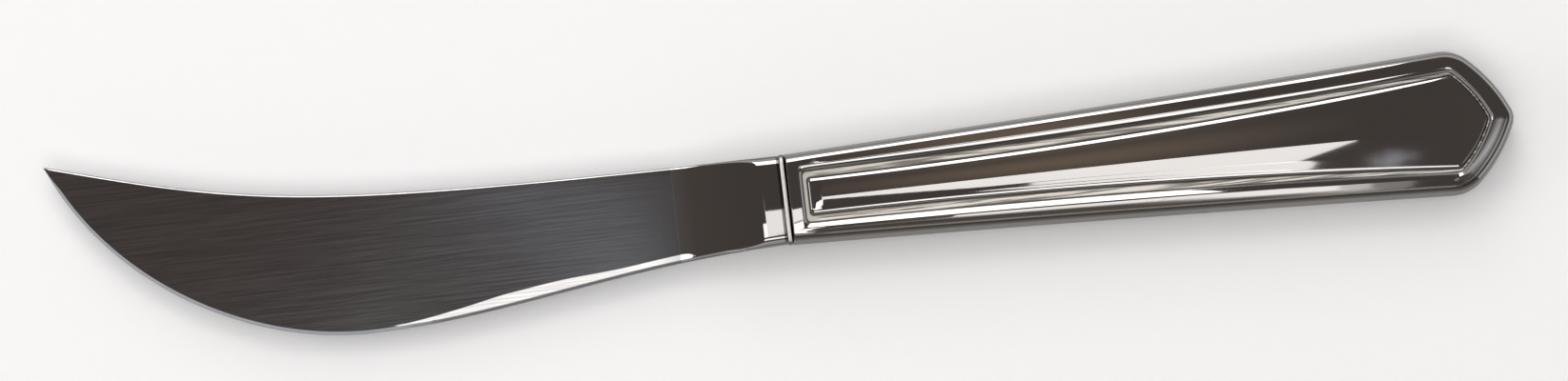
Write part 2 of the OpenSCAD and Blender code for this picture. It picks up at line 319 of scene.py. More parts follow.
tip = Vector((-blade_len, tip_rise))
lowest = Vector((-belly_back, -belly_drop))
spine_curve = [
    Vector((0, bolster_w / 2)),
    Vector((-spine_run, spine_rise)),
    tip + tip_reach * Vector((cos(tip_slope), -sin(tip_slope))),
    tip,
]
heel_curve = [
    Vector((0, -bolster_w / 2)),
    Vector((-heel_reach, -bolster_w / 2 - heel_sink)),
    lowest + Vector((belly_aft, 0)),
    lowest,
]
belly_curve = [
    lowest,
    lowest - Vector((belly_fore, 0)),
    tip + point_reach * Vector((cos(point_slope), -sin(point_slope))),
    tip,
]
halvings = 30


def height_at(curve, x):
    """Height of a curve that runs steadily towards the tip, found by halving."""
    low, high = 0, 1
    for _ in range(halvings):
        t = (low + high) / 2
        if bezier(curve, t).x < x:
            high = t
        else:
            low = t
    return bezier(curve, (low + high) / 2).y


def spine_y(x):
    return height_at(spine_curve, x)


def edge_y(x):
    y = height_at(heel_curve if x > lowest.x else belly_curve, x)
    return min(y, spine_y(x) - tip_blunt)


def flare(x):
    t = unit((x + flare_len) / (flare_len - bolster_len))
    return mix(t ** flare_swell, t, flare_lead)


def keen(x):
    return ease((keen_fade - facet_end - x) / keen_fade)


def bead(x):
    return bead_h * sqrt(max(0, 1 - (2 * x / bead_w + 1) ** 2))


def facet(x):
    u = unit((x + facet_start + facet_round) / facet_round)
    widened = ease((-x - facet_wide_from) / (facet_wide_to - facet_wide_from))
    w = mix(facet_heel_w, facet_w, widened)
    return w * unit((x + facet_end) / facet_fade) * sqrt(1 - u * u)


def upright(x):
    """Upright width of a band that is one unit wide along the edge."""
    rise = (edge_y(x + probe) - edge_y(x)) / probe
    return sqrt(1 + rise * rise)


def ground_rows(x, low, tall, face):
    """The ground facet and the bevel at x, as (height above the edge, half thickness)."""
    sharp = keen(x)
    edging = mix(roll_w, bevel_w, sharp)
    b = min(edging * upright(x), tall * bevel_limit)
    ground_to = min((edging + facet(x)) * upright(x), tall * facet_limit)
    a = max(ground_to, b + min(least_facet, tall * bevel_limit / 2))
    soft = min(crisp, (a - b) / 4)
    at_a = face(low + a)
    at_b = mix(face(low + b), at_a - (a - b) * tan(facet_tilt), unit((ground_to - b) / least_facet))
    at_edge = mix(at_b - roll_fall, keen_t / 2, sharp)

    def facet_at(h):
        return mix(at_b, at_a, (h - b) / (a - b))

    def bevel_at(h):
        return mix(at_edge, at_b, h / b)

    return [
        (a + soft, face(low + a + soft)),
        (a, at_a),
        (a - soft, facet_at(a - soft)),
        ((a + b) / 2, facet_at((a + b) / 2)),
        (b + soft, facet_at(b + soft)),
        (b, at_b),
        (b - soft / 2, bevel_at(b - soft / 2)),
        (b / 2, bevel_at(b / 2)),
        (0, at_edge),
    ]


def blade_section(x):
    """One face of the blade at x, from the spine to the edge, as (height, half thickness)."""
    top = spine_y(x) + bead(x) * bead_ends
    low = edge_y(x) - bead(x) * bead_ends
    tall = top - low
    flared = flare(x)
    rounded = ease((x + round_from) / (round_from - bolster_len))
    r = min(mix(spine_r, bolster_r, flared ** corner_swell), tall * spine_limit)
    back = mix(mix(spine_t, tip_t, unit(-x / blade_len)), bolster_t, flared) / 2 + bead(x)
    thinned = ease((x + flare_len) / (flare_len - belly_back))
    flat = mix(mix(spine_t, belly_t, thinned), bolster_t, flared) / 2 + bead(x)

    def face(y):
        u = (top - y) / tall
        return mix(back, flat, u) + flared * bolster_crown * 4 * u * (1 - u)

    rows = []
    for i in range(corner_rows + 1):
        q = pi / 2 * i / corner_rows
        rows.append((top - r * (1 - cos(q)), face(top - r) - r * (1 - sin(q))))
    ground = ground_rows(x, low, tall, face)
    face_low = low + mix(ground[0][0], r, rounded)
    for i in range(1, face_rows + 1):
        y = mix(top - r, face_low, i / (face_rows + 1))
        rows.append((y, face(y)))
    for i, (height, half) in enumerate(ground):
        q = pi / 2 * i / (len(ground) - 1)
        round_height = r * (1 - sin(q))
        round_half = face(low + r) - r * (1 - cos(q))
        rows.append((low + mix(height, round_height, rounded), mix(half, round_half, rounded)))
    return rows


def both_faces(x, rows):
    """A ring at x: down one face and back up the other."""
    return [(x, y, half) for y, half in rows] + [(x, y, -half) for y, half in reversed(rows)]


def bar_ring(x, width, thick, count):
    """A square-cornered section with the blade section's number of points."""
    end = corner_rows // 2
    rows = []
    for i in range(count):
        if i < end:
            rows.append((width / 2, thick / 2 * (i + 1) / (end + 1)))
        elif i >= count - end:
            rows.append((-width / 2, thick / 2 * (count - i) / (end + 1)))
        else:
            rows.append((width / 2 - width * (i - end) / (count - 1 - 2 * end), thick / 2))
    return both_faces(x, rows)


def make_blade():
    """Blade, flare, bolster and bead, drawn section by section from the tip, then spigot and tang."""
    thin = [
        -mix(flare_len, blade_len, 1 - (1 - i / blade_stations) ** tip_crowding)
        for i in range(blade_stations, 0, -1)
    ]
    thin.append(-flare_len - crisp)
    flared = [-mix(bead_w, flare_len, i / flare_stations) for i in range(flare_stations, 0, -1)]
    collar = [-bead_w / 2 * (1 + cos(pi * i / bead_stations)) for i in range(bead_stations + 1)]
    rings = [both_faces(x, blade_section(x)) for x in thin + flared + collar]
    count = len(rings[0]) // 2
    rings += [
        bar_ring(0, spigot_w, spigot_t, count),
        bar_ring(spigot_len, spigot_w, spigot_t, count),
        bar_ring(spigot_len, tang_w, tang_t, count),
        bar_ring(spigot_len + tang_len, tang_end_w, tang_t, count),
    ]
    piece = start_ring("forged_blade", rings[0])
    draw_rings(piece, rings[1:])
    smooth(piece, blade_smooth)
    return piece


# Handle

def side_line(at_neck, at_butt):
    """The side on the edge's side of the axis, as its height at the bolster and its slope."""
    y = at_neck - neck_w / 2
    return y, atan((y - at_butt + butt_w / 2) / shoulder_x)


def arc(center, r, start, end, steps):
    turns = (mix(start, end, i / steps) for i in range(steps + 1))
    return [center + r * Vector((cos(q), sin(q))) for q in turns]


def half_outline(inset, at_butt, front, relief):
    """Half of the handle's outline at an inset: front corner, side, shoulder, gable and point."""
    beyond_crest = at_butt - inset_at_butt(crest_in)
    gable_inset = gable_rim + beyond_crest * gable_share if relief else at_butt
    r = panel_r if relief else max(shoulder_r - inset, panel_r)
    p = max(point_r - inset, relief_point_r)
    bow = side_bow + relief_bow * unit((inset - rim_in) / (panel_in - rim_in))
    y, slope = side_line(inset, at_butt)
    moved = y + r / cos(slope)
    center_x = (sin(gable_slope) * apex_x + cos(gable_slope) * moved - gable_inset - r) / (
        sin(gable_slope) + tan(slope) * cos(gable_slope)
    )
    center = Vector((center_x, moved - tan(slope) * center_x))
    leaving = gable_slope - gable_bend
    landing = gable_slope + gable_bend
    shoulder = arc(center, r, -pi / 2 - slope, leaving - pi / 2, shoulder_steps)
    nose_x = apex_x - (gable_inset + p) / sin(gable_slope)
    nose = arc(Vector((nose_x, 0)), p, landing - pi / 2, 0, point_steps)
    reach = (nose[0] - shoulder[-1]).length / 3
    gable = [
        shoulder[-1],
        shoulder[-1] + reach * Vector((cos(leaving), sin(leaving))),
        nose[0] - reach * Vector((cos(landing), sin(landing))),
        nose[0],
    ]
    corner = Vector((front, y - tan(slope) * front))
    length = (shoulder[0] - corner).length
    turn = front_corner_r if relief else outer_corner_r
    points = arc(corner + Vector((turn, turn)), turn, pi, pi * 1.5, corner_steps)
    for i in range(1, side_steps):
        t = mix(2 * turn / length, 1, (i / side_steps) ** front_crowding)
        points.append(mix(corner, shoulder[0], t) + Vector((0, bow * 4 * t * (1 - t))))
    return points + shoulder + [bezier(gable, i / gable_steps) for i in range(1, gable_steps)] + nose


def whole_ring(half):
    """Down the front edge, along one side to the point, and back along the other."""
    corner = half[0]
    front = [Vector((corner.x, -corner.y * (1 - 2 * i / front_steps))) for i in range(front_steps)]
    return front + half + [Vector((p.x, -p.y)) for p in half[-2:0:-1]]


# One ring of the half shell: its insets and height, and its shares of the crest's lean along the sides
# and the gable, of the cove and of the shoulder, and how far along the edge's side it gets roughness and
# painted shade
level_fields = "inset at_butt front relief z lean gable cove shoulder dull_end"
Level = namedtuple("Level", level_fields, defaults=(0, 0, 0, 0, 0))


def inset_at_butt(inset):
    """Inset at the butt that goes with one at the bolster: the crest widens and the cove narrows."""
    widened = rim_gain * unit((inset - rim_in) / rim_land)
    return inset + widened - cove_loss * unit((inset - cove_out) / cove_w)


def rim_level(inset, z, lean=0, dull_end=0):
    at_butt = inset_at_butt(inset)
    beyond = unit((gable_rim - at_butt) / (gable_rim - rim_in))
    gable = beyond * (1 + beyond) / 2 if lean else 0
    return Level(inset, at_butt, inset * front_round, False, z, lean, gable, 0, 1, dull_end)


def relief_level(inset, z, lean=0, cove=0):
    front = land_len + (inset - crest_in) * front_share
    return Level(inset, inset_at_butt(inset), front, True, z, lean, 0, cove)


def inner_level(z, more):
    inset = wall + z * tan(side_lean) + more
    return Level(inset, inset, wall + more, False, z)


def shell_levels():
    """Rings of the half shell, from its cavity's roof, down inside and over the rim to the panel."""
    levels = [
        relief_level(panel_in + wall, panel_z - wall),
        relief_level(cove_in + wall / 2, roof_z),
        relief_level(crest_in, roof_z),
        relief_level(hollow_in, hollow_top),
        inner_level(hollow_top, hollow_r),
        inner_level(hollow_top - hollow_r, 0),
        Level(wall, wall, wall, False, seam_t / 2),
    ]
    for i in range(wall_steps):
        t = i / wall_steps
        z = mix(seam_t / 2, wall_top_z, t)
        levels.append(rim_level((z - seam_t / 2) * tan(side_lean), z, t))
    for i in range(arc_steps):
        q = mix(side_lean, pi / 2, i / arc_steps)
        levels.append(rim_level(rim_in - rim_r * cos(q), half_t - rim_r * (1 - sin(q)), 1))
    for share, dull_end in crest_rows:
        levels.append(rim_level(mix(rim_in, crest_in, share), half_t, 1 - share, dull_end))
    levels.append(relief_level(mix(rim_in, crest_in, 1 - ridge_share), half_t, ridge_share))
    for i in range(arc_steps + 1):
        t = i / arc_steps
        fallen = rim_fall * mix(t * t, t, slope_even)
        levels.append(relief_level(crest_in + rim_slope_w * t, half_t - fallen))
    crease_in = mix(cove_out, cove_in, crease_share)
    for t, coarse in crease_rows:
        z = mix(half_t - rim_fall, cove_z, sin(pi / 2 * t))
        levels.append(relief_level(mix(cove_out, crease_in, t), z, cove=coarse))
    for t, coarse in floor_rows:
        levels.append(relief_level(mix(crease_in, cove_in, t), cove_z, cove=coarse))
    for i in range(1, arc_steps + 1):
        q = pi / 2 * i / arc_steps
        coarse = step_coarse if i == 1 else 0
        z = mix(cove_z, panel_z, sin(q))
        levels.append(relief_level(mix(cove_in, panel_in, 1 - cos(q)), z, cove=coarse))
    return levels


def polished_z(x, y, z, lean=0, gable=0):
    """Height after polishing, which leans the crest outwards and crowns the land by the bolster."""
    land_w = rim_land + rim_gain * unit(x / shoulder_x)
    on_side = ease((x - crest_lean_from) / (crest_lean_to - crest_lean_from))
    at_end = ease((x - end_lean_from) / (end_lean_to - end_lean_from))
    side_fall = mix(tan(crest_lean) * on_side, tan(end_lean), at_end) * land_w
    on_gable = ease((x - gable_lean_from) / (gable_lean_to - gable_lean_from))
    leant = mix(lean * side_fall, gable * tan(gable_lean) * (gable_rim - rim_in), on_gable)
    crowned = y * y / (2 * land_crown_r) * (1 - ease(x / land_crown_end)) * unit(z / half_t)
    return z - leant - crowned


def bridge_panel(piece, border, first, front):
    """Bridges the panel's two long borders across, and crowns the rows between them.

    It takes half of the panel's outline, the first vertex on that ring and the place of its front edge.
    """
    corner = first + front_steps
    chain = len(border) - 1
    lower = {corner + i for i in range(chain)}
    upper = {corner + 2 * chain - i for i in range(1, chain)} | {first}
    mesh = bmesh.from_edit_mesh(piece.data)
    mesh.select_mode = {"EDGE"}
    for edge in mesh.edges:
        ends = {vert.index for vert in edge.verts}
        edge.select_set(ends <= lower or ends <= upper)
    mesh.select_flush_mode()
    bmesh.update_edit_mesh(piece.data)
    before = len(mesh.verts)
    bpy.ops.mesh.bridge_edge_loops(number_cuts=front_steps - 1, interpolation="LINEAR")
    mesh = bmesh.from_edit_mesh(piece.data)
    mesh.verts.ensure_lookup_table()
    widest_half = max(-p.y for p in border)
    for vert in list(mesh.verts)[before:]:
        at = vert.co / MM - joint
        row = min(border, key=lambda p: abs(p.x - at.x))
        share = at.y / row.y if row.y else 0
        from_front = ease((at.x - front) / crown_lead)
        to_butt = ease((crown_fade_to - at.x) / (crown_fade_to - crown_fade_from))
        rise = panel_crown * -row.y / widest_half * (1 - share * share) * from_front * to_butt
        vert.co.z = place(0, 0, polished_z(at.x, at.y, panel_z) + rise).z
    bmesh.update_edit_mesh(piece.data)


def mark_levels(piece, levels, rings):
    """Marks the points of the cove and the shoulder, and those of the crest that get roughness and
    painted shade.
    """
    for name in ("cove", "shoulder"):
        piece.data.attributes.new(name, "FLOAT", "POINT")
    coves = piece.data.attributes["cove"].data
    shoulders = piece.data.attributes["shoulder"].data
    for i, (found, ring) in enumerate(zip(levels, rings)):
        for j, (x, y, _) in enumerate(ring, i * len(ring)):
            begun = ease((x - dull_shade_from) / (dull_shade_to - dull_shade_from))
            dull = min(begun, ease((found.dull_end - x) / dull_shade_fade)) if y < 0 else 0
            coves[j].value = found.cove
            shoulders[j].value = found.shoulder + dull


def make_shell():
    """The front half shell: rings drawn from its cavity to the panel, which is bridged and crowned."""
    levels = shell_levels()
    halves = [half_outline(*found[:4]) for found in levels]
    rings = []
    for half, found in zip(halves, levels):
        ring = whole_ring(half)
        rings.append([(p.x, p.y, polished_z(p.x, p.y, found.z, found.lean, found.gable)) for p in ring])
    piece = start_ring("handle_shell_front", rings[0])
    draw_rings(piece, rings[1:])
    bpy.ops.mesh.delete(type="ONLY_FACE")
    bridge_panel(piece, halves[-1], len(rings[0]) * (len(rings) - 1), levels[-1].front)
    bpy.ops.mesh.select_all(action="SELECT")
    bpy.ops.mesh.remove_doubles(threshold=weld)
    bpy.ops.mesh.select_all(action="DESELECT")
    bpy.ops.mesh.select_non_manifold()
    bpy.ops.mesh.edge_face_add()
    bpy.ops.object.mode_set(mode="OBJECT")
    mark_levels(piece, levels, rings)
    cut_mouth(piece)
    smooth(piece, handle_smooth)
    return piece


def cut_mouth(piece):
    """Cuts the opening for the spigot through the handle's front wall."""
    bpy.ops.object.select_all(action="DESELECT")
    bpy.ops.mesh.primitive_cube_add(size=1)
    cutter = bpy.context.object
    cutter.location = place(wall / 2, 0, 0)
    cutter.scale = Vector((3 * wall, spigot_w + 2 * fit_gap, spigot_t + 2 * fit_gap)) * MM
    bpy.context.view_layer.objects.active = piece
    mouth = piece.modifiers.new("mouth", "BOOLEAN")
    mouth.object = cutter
    mouth.operation = "DIFFERENCE"
    bpy.ops.object.modifier_apply(modifier=mouth.name)
    bpy.data.objects.remove(cutter)
    piece.select_set(True)


def mirrored_shell(front):
    """The back half shell: the front one mirrored across the seam."""
    bpy.ops.object.select_all(action="DESELECT")
    front.select_set(True)
    bpy.context.view_layer.objects.active = front
    bpy.ops.object.duplicate()
    piece = bpy.context.object
    piece.name = piece.data.name = "handle_shell_back"
    bpy.ops.object.mode_set(mode="EDIT")
    bpy.ops.mesh.select_all(action="SELECT")
    bpy.ops.transform.resize(value=(1, 1, -1), center_override=place(0, 0, 0))
    bpy.ops.object.mode_set(mode="OBJECT")
    smooth(piece, handle_smooth)
    return piece


def make_seam():
    """The brazed seam: a thin band between the half shells, a hair below their sides."""
    outer = whole_ring(half_outline(seam_sunk, seam_sunk, 0, False))
    inner = whole_ring(half_outline(wall, wall, wall, False))
    top, low = seam_t / 2, -seam_t / 2
    bands = [(outer, top), (outer, low), (inner, low), (inner, top), (outer, top)]
    rings = [[(p.x, p.y, z) for p in ring] for ring, z in bands]
    piece = start_ring("brazed_seam", rings[0])
    bpy.ops.mesh.delete(type="ONLY_FACE")
    bpy.ops.mesh.select_all(action="SELECT")
    draw_rings(piece, rings[1:])
    bpy.ops.mesh.select_all(action="SELECT")
    bpy.ops.mesh.remove_doubles(threshold=weld)
    bpy.ops.object.mode_set(mode="OBJECT")
    cut_mouth(piece)
    smooth(piece, handle_smooth)
    return piece


# Finishes

class Field:
    """A value that varies over a surface: sums and products of fields add their Math nodes."""

    def __init__(self, finish, socket):
        self.finish = finish
        self.socket = socket

    def maths(self, operation, a, b):
        return self.finish.node("Math", {"operation": operation}, {0: a, 1: b})

    def __add__(self, other):
        return self.maths("ADD", self, other)

    def __radd__(self, other):
        return self.maths("ADD", other, self)

    def __sub__(self, other):
        return self.maths("SUBTRACT", self, other)

    def __rsub__(self, other):
        return self.maths("SUBTRACT", other, self)

    def __mul__(self, other):
        return self.maths("MULTIPLY", self, other)

    def __rmul__(self, other):
        return self.maths("MULTIPLY", other, self)


class Finish:
    """A material, filled by one method that adds any node and gives back one of its outputs."""

    def __init__(self, name):
        self.material = bpy.data.materials.new(name)
        self.material.use_nodes = True
        self.tree = self.material.node_tree
        self.tree.nodes.clear()

    def node(self, kind, settings=None, sockets=None, output=0):
        node = self.tree.nodes.new("ShaderNode" + kind)
        for name, value in (settings or {}).items():
            setattr(node, name, value)
        for name, value in (sockets or {}).items():
            if isinstance(value, Field):
                self.tree.links.new(value.socket, node.inputs[name])
            else:
                node.inputs[name].default_value = value
        return Field(self, node.outputs[output]) if node.outputs else None

    def place_on(self, stretch):
        """Object coordinates in metres, multiplied along each axis."""
        spot = self.node("TexCoord", output="Object")
        return self.node("VectorMath", {"operation": "MULTIPLY"}, {0: spot, 1: stretch})

    def noise(self, stretch, detail=2, roughness=0.5):
        spot = self.place_on(stretch)
        sockets = {"Vector": spot, "Scale": 1, "Detail": detail, "Roughness": roughness}
        return self.node("TexNoise", {}, sockets, "Fac")

    def mark(self, name):
        """A value that was marked on the piece's points."""
        return self.node("Attribute", {"attribute_name": name}, {}, "Fac")

    def ramp(self, value, low, high):
        """Nought below low, one above high, eased between them."""
        settings = {"interpolation_type": "SMOOTHSTEP"}
        return self.node("MapRange", settings, {"Value": value, "From Min": low, "From Max": high})

    def past(self, start, end):
        """Nought before start, one past end: places along the knife, in millimetres from the joint."""
        spot = self.node("TexCoord", output="Object")
        along = self.node("SeparateXYZ", {}, {0: spot}, "X")
        return self.ramp(along, place(start, 0, 0).x, place(end, 0, 0).x)

    def blend(self, share, first, second):
        """A colour between two colours."""
        settings = {"data_type": "RGBA"}
        return self.node("Mix", settings, {0: share, 6: first, 7: second}, 2)

    def blob(self, spot, center, reach):
        """One at a place, falling smoothly to nought at its reach along each axis."""
        away = self.node("VectorMath", {"operation": "SUBTRACT"}, {0: spot, 1: center})
        shares = self.node("VectorMath", {"operation": "DIVIDE"}, {0: away, 1: reach})
        far = self.node("VectorMath", {"operation": "LENGTH"}, {0: shares}, "Value")
        return 1 - self.ramp(far, 0, 1)

    def bump(self, height, strength, distance, normal=None):
        sockets = {"Height": height, "Strength": strength, "Distance": distance}
        if normal:
            sockets["Normal"] = normal
        return self.node("Bump", {}, sockets)

    def show(self, shader):
        self.node("OutputMaterial", {}, {"Surface": shader})
        return self.material


class Air(Finish):
    """The studio's air: a world, filled in the same way."""

    def __init__(self, name):
        self.world = bpy.data.worlds.new(name)
        self.world.use_nodes = True
        self.tree = self.world.node_tree
        self.tree.nodes.clear()

    def show(self, shader):
        self.node("OutputWorld", {}, {"Surface": shader})
        return self.world


# Finish of the sides: rougher, and painted dark as shade in place of the dim reflection they show
side_shade_color = (0.13, 0.118, 0.107, 1)
side_rough = 0.3

# Finish of the blade: changes along it in millimetres from the joint, colours, and roughness
rub_dim_from = -27
satin_fade_from = -20
satin_fade_to = -12
line_before = 0.2
line_behind = 0.1
polish_fade = 2.8
brush_share = 0.7
satin_dark = (0.49, 0.485, 0.49, 1)
satin_light = (0.67, 0.66, 0.66, 1)
# Before the flare the brush lines end, and the satin is painted darker there to dim its sheen
satin_rubbed_dim = (0.51, 0.505, 0.505, 1)
# Painted shade for the blade's steep sides where it is satin
satin_side_shade = (0.34, 0.36, 0.39, 1)
# Painted highlight: a pale line where the flare starts, then a lighter colour painted on the flare as
# reflection, fading into the bolster's
line_highlight_color = (0.82, 0.87, 0.89, 1)
flare_lit_color = (0.72, 0.7, 0.69, 1)
bolster_color = (0.6, 0.59, 0.585, 1)
flare_rough = 0.03
satin_rough = 0.03
brush_rough = 0.04
satin_cloud_rough = 0.01

# The bead's ridge, painted pale and scattering some light as a highlight, and painted shade along both
# sides of the bead
ridge_w = 0.4
ridge_fade = 0.1
ridge_highlight_color = (0.95, 0.92, 0.87, 1)
ridge_rough = 0.3
ridge_scatter = 0.5
# Painted shade beside the bead: its width, fade and colour
groove_w = 0.35
groove_fade = 0.12
groove_shade_color = (0.16, 0.15, 0.14, 1)


def bead_ridge(finish):
    """One on the bead's ridge, nought beside it."""
    start = -(bead_w + ridge_w) / 2
    end = start + ridge_w
    return finish.past(start - ridge_fade, start) * (1 - finish.past(end, end + ridge_fade))


def blade_color(finish, lines, ridge):
    """Brushed satin, its brush lines ending before the flare, where it is painted darker to dim the
    sheen; then a painted pale highlight line and a painted lighter reflection along the flare, fading
    into the polished bolster; and the bead, with a painted highlight on its ridge and painted shade
    beside it.
    """
    brushed = finish.blend(finish.ramp(lines, low=0.35, high=0.65), satin_dark, satin_light)
    # Brush lines end before the flare, and painted shade dims the sheen there
    rubbed_and_dimmed = finish.blend(finish.past(rub_dim_from, -flare_len), brushed, satin_rubbed_dim)
    # Painted reflection and highlight: the flare lighter towards its start, with a pale line across it
    polish = finish.blend(finish.past(-flare_len, -bolster_len), flare_lit_color, bolster_color)
    highlight_lined = finish.blend(finish.past(-flare_len, -flare_len + polish_fade), line_highlight_color, polish)
    on_flare = finish.past(-flare_len - line_before, -flare_len + line_behind)
    bright = finish.blend(on_flare, rubbed_and_dimmed, highlight_lined)
    # Painted shade: a dark band on each side of the bead
    groove = -bead_w - groove_w
    grooved = finish.blend(finish.past(groove - groove_fade, groove), bright, groove_shade_color)
    # Painted highlight on the bead's ridge
    return finish.blend(ridge, grooved, ridge_highlight_color)


def blade_steel():
    """Satin stainless steel, brushed along the blade, polished on the flare and bolster."""
    finish = Finish("blade_satin_steel")
    brush = finish.noise((70, 3600, 3600), detail=3, roughness=0.6)
    fine = finish.noise((160, 9000, 9000))
    clouds = finish.noise((60, 90, 90), detail=3)
    lines = brush * brush_share + fine * (1 - brush_share)
    side = finish.mark("side")
    polished = finish.past(satin_fade_from, satin_fade_to)
    satin = 1 - polished
    ridge = bead_ridge(finish)
    brushed = satin * (satin_rough + brush * brush_rough + clouds * satin_cloud_rough)
    # Painted shade: the blade's steep sides are darker, satin or polished
    dull = finish.blend(polished, satin_side_shade, side_shade_color)
    shader = finish.node("BsdfPrincipled", {}, {
        "Base Color": finish.blend(side, blade_color(finish, lines, ridge), dull),
        # The ridge's painted highlight scatters some light
        "Metallic": 1 - ridge * ridge_scatter,
        "Roughness": flare_rough + brushed + side * side_rough + ridge * ridge_rough,
        "Normal": finish.bump(lines * satin, strength=0.35, distance=0.000002),
    })
    return finish.show(shader)


# Finish of the handle: where the cove's streaks begin and the butt is rubbed, its worn patch with a
# bluish reflection painted in, its colours, its roughness, and the share of the light that the cove
# scatters
streaks_from = 3.4
streaks_to = 5
handled_from = 95
handled_to = 101
worn_x = 90.5
worn_y = -3.9
worn_reach_x = 8.5
worn_reach_y = 3.6
even_streak = 0.6
# How strongly painted shade is laid along the creases at the cove's edges
crease_shade_gain = 3.2
polish_color = (0.63, 0.615, 0.605, 1)
streak_dark = (0.26, 0.235, 0.205, 1)
streak_light = (0.97, 0.92, 0.84, 1)
# The worn patch is rougher, and tinted bluish as a painted reflection
worn_sheen_color = (0.61, 0.64, 0.74, 1)
# Colour of the painted shade in the cove's creases
crease_shade_color = (0.06, 0.053, 0.047, 1)
polish_rough = 0.018
cloud_rough = 0.012
handled_rough = 0.06
worn_rough = 0.18
cove_rough = 0.24
pressed_rough = 0.16
cove_scatter = 0.65


def handle_color(finish, cove, pressed, wear_and_sheen):
    """Polish, streaked in the cove, hazy where it shows wear and tinted bluish there as painted
    reflection, with painted shade along the creases and by the bead.
    """
    drawn = finish.ramp(pressed, low=0.42, high=0.58)
    streaks = even_streak + finish.past(streaks_from, streaks_to) * (drawn - even_streak)
    streaked = finish.blend(streaks, streak_dark, streak_light)
    # Worn patch: hazy by roughness, and tinted bluish as a painted reflection
    hazed_and_tinted = finish.blend(wear_and_sheen, finish.blend(cove, polish_color, streaked), worn_sheen_color)
    # Painted shade along the creases on both edges of the cove
    crease_shaded = finish.blend(cove * (1 - cove) * crease_shade_gain, hazed_and_tinted, crease_shade_color)
    # Painted shade by the bead
    return finish.blend(finish.past(groove_w, groove_w + groove_fade), groove_shade_color, crease_shaded)


def handle_steel():
    """Polished stainless steel, left coarse and a little warmer in the pressed cove."""
    finish = Finish("handle_polished_steel")
    clouds = finish.noise((70, 160, 160), detail=3)
    pressed = finish.noise((70, 3000, 3000), detail=3, roughness=0.6)
    wavy = finish.noise((110, 260, 260))
    cove = finish.mark("cove")
    side = finish.mark("side")
    spot = finish.node("TexCoord", output="Object")
    patch = finish.blob(spot, place(worn_x, worn_y, 0), (worn_reach_x * MM, worn_reach_y * MM, 1))
    # The worn patch's mask: it roughens the polish and carries the painted bluish reflection
    wear_and_sheen = patch * finish.ramp(clouds, low=0.3, high=0.7)
    handled = finish.past(handled_from, handled_to)
    polish = polish_rough + clouds * cloud_rough + handled * handled_rough + wear_and_sheen * worn_rough
    ripple = finish.bump(wavy, strength=0.15, distance=0.000004)
    shader = finish.node("BsdfPrincipled", {}, {
        # Painted shade: the steep sides, and on the edge's side the shoulder and outer crest, take a
        # dark colour
        "Base Color": finish.blend(side, handle_color(finish, cove, pressed, wear_and_sheen), side_shade_color),
        "Metallic": 1 - cove * cove_scatter,
        "Roughness": polish + cove * (cove_rough + pressed * pressed_rough) + side * side_rough,
        "Normal": finish.bump(pressed * cove, strength=0.7, distance=0.00005, normal=ripple),
    })
    return finish.show(shader)


# Finish of the brazing metal
braze_dark = (0.52, 0.47, 0.38, 1)
braze_light = (0.64, 0.59, 0.5, 1)
braze_rough = 0.3
grain_rough = 0.15


def braze_metal():
    """Pale brazing metal, dull in the hair line between the shells."""
    finish = Finish("seam_braze_metal")
    grain = finish.noise((2600, 2600, 2600), detail=3)
    shader = finish.node("BsdfPrincipled", {}, {
        "Base Color": finish.blend(grain, braze_dark, braze_light),
        "Metallic": 1,
        "Roughness": braze_rough + grain * grain_rough,
    })
    return finish.show(shader)


# Finish of the cement
cement_dark = (0.36, 0.3, 0.22, 1)
cement_light = (0.6, 0.53, 0.43, 1)
cement_rough = 0.9


def tang_cement():
    """Sandy cement packed round the tang."""
    finish = Finish("handle_cement")
    grit = finish.noise((1800, 1800, 1800), detail=4, roughness=0.65)
    shader = finish.node("BsdfPrincipled", {}, {
        "Base Color": finish.blend(grit, cement_dark, cement_light),
        "Roughness": cement_rough,
        "Normal": finish.bump(grit, strength=0.6, distance=0.0002),
    })
    return finish.show(shader)


# Finish of the floor
paper_dark = (0.93, 0.93, 0.93, 1)
paper_light = (0.945, 0.945, 0.945, 1)


def studio_paper():
    """Matt white paper."""
    finish = Finish("studio_paper")
    tooth = finish.noise((400, 400, 400))
    color = finish.blend(tooth, paper_dark, paper_light)
    return finish.show(finish.node("BsdfDiffuse", {}, {"Color": color}))


# The air's colours overhead and at the horizon, and the heights between which they change
air_color = (0.075, 0.063, 0.058, 1)
horizon_color = (0.55, 0.55, 0.56, 1)
horizon_from = 0.28
horizon_to = 0.68

# A soft glow in the air: slopes from the zenith to its middle, along and across the knife, and its reach
Glow = namedtuple("Glow", "along across reach_along reach_across radiance")
glows = [
    Glow(-0.041, 0.01, 0.032, 0.07, (0.29, 0.31, 0.345, 1)),
    Glow(0.04, 0.13, 0.046, 0.25, (0.18, 0.138, 0.105, 1)),
    Glow(0.36, -0.15, 0.22, 0.2, (0.58, 0.58, 0.6, 1)),
]


def studio_air():
    """Dim warm air with a few soft glows, lighter near the horizon."""
    air = Air("studio_air")
    seen = air.node("TexCoord", output="Generated")
    height = air.node("SeparateXYZ", {}, {0: seen}, "Z")
    shrink = air.node("Math", {"operation": "DIVIDE"}, {0: 1, 1: height})
    ceiling = air.node("VectorMath", {"operation": "SCALE"}, {0: seen, "Scale": shrink})
    low_down = 1 - air.ramp(height, horizon_from, horizon_to)
    color = air.blend(low_down, air_color, horizon_color)
    for glow in glows:
        middle = (glow.along, glow.across, 1)
        share = air.blob(ceiling, middle, (glow.reach_along, glow.reach_across, 1))
        color = air.blend(share, color, glow.radiance)
    return air.show(air.node("Background", {}, {"Color": color}))


def dress(piece, node, material):
    """Gives a piece its finish, and its place on the knife."""
    piece.data.materials.clear()
    piece.data.materials.append(material)
    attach(piece, "root")
    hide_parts(node)


